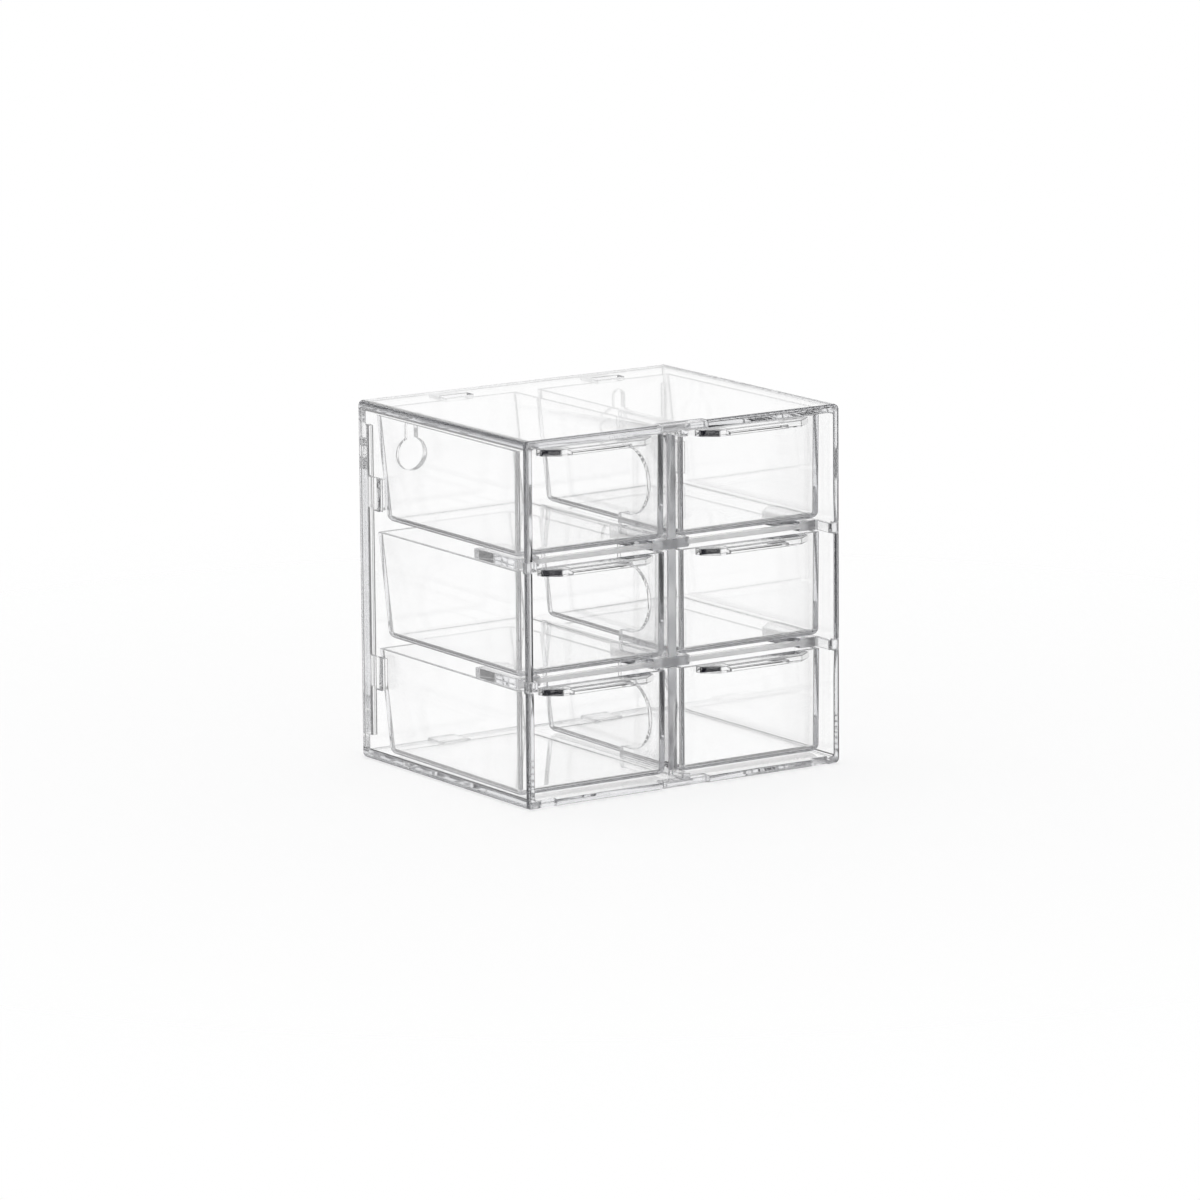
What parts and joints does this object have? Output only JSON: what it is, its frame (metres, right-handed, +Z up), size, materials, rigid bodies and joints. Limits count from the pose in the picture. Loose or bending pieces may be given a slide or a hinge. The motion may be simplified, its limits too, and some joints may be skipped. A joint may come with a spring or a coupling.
{
  "type": "bead storage drawer cabinet",
  "caption": "Small clear plastic cabinet of open-topped pull-out drawers on ledges, with a divider, shelf frames and a snap-in back panel with keyholes for hanging.",
  "frame": {"origin": "on the underside of the cabinet, at the middle of its bounding box", "axes": "+Z up, -Y towards the front where the drawers pull out, +X to the right seen from the front"},
  "size_m": [0.123, 0.1, 0.12],
  "materials": {
    "casing_polystyrene": "clear, polished",
    "fitting_polystyrene": "clear, polished",
    "drawer_polystyrene": "clear, polished"
  },
  "bodies": {
    "cabinet": {"casing": "casing_polystyrene", "back_panel": "casing_polystyrene", "divider": "fitting_polystyrene", "shelf_frame_lower": "fitting_polystyrene", "shelf_frame_upper": "fitting_polystyrene"},
    "bottom_left_drawer": {"drawer_bottom_left": "drawer_polystyrene"},
    "bottom_right_drawer": {"drawer_bottom_right": "drawer_polystyrene"},
    "middle_left_drawer": {"drawer_middle_left": "drawer_polystyrene"},
    "middle_right_drawer": {"drawer_middle_right": "drawer_polystyrene"},
    "top_left_drawer": {"drawer_top_left": "drawer_polystyrene"},
    "top_right_drawer": {"drawer_top_right": "drawer_polystyrene"}
  },
  "joints": [
    {"name": "bottom_left_slide", "type": "slide", "parent": "cabinet", "child": "bottom_left_drawer", "axis": [0, -1, 0], "range_m": [0, 0.06]},
    {"name": "bottom_right_slide", "type": "slide", "parent": "cabinet", "child": "bottom_right_drawer", "axis": [0, -1, 0], "range_m": [0, 0.06]},
    {"name": "middle_left_slide", "type": "slide", "parent": "cabinet", "child": "middle_left_drawer", "axis": [0, -1, 0], "range_m": [0, 0.06]},
    {"name": "middle_right_slide", "type": "slide", "parent": "cabinet", "child": "middle_right_drawer", "axis": [0, -1, 0], "range_m": [0, 0.06]},
    {"name": "top_left_slide", "type": "slide", "parent": "cabinet", "child": "top_left_drawer", "axis": [0, -1, 0], "range_m": [0, 0.06]},
    {"name": "top_right_slide", "type": "slide", "parent": "cabinet", "child": "top_right_drawer", "axis": [0, -1, 0], "range_m": [0, 0.06]}
  ]
}
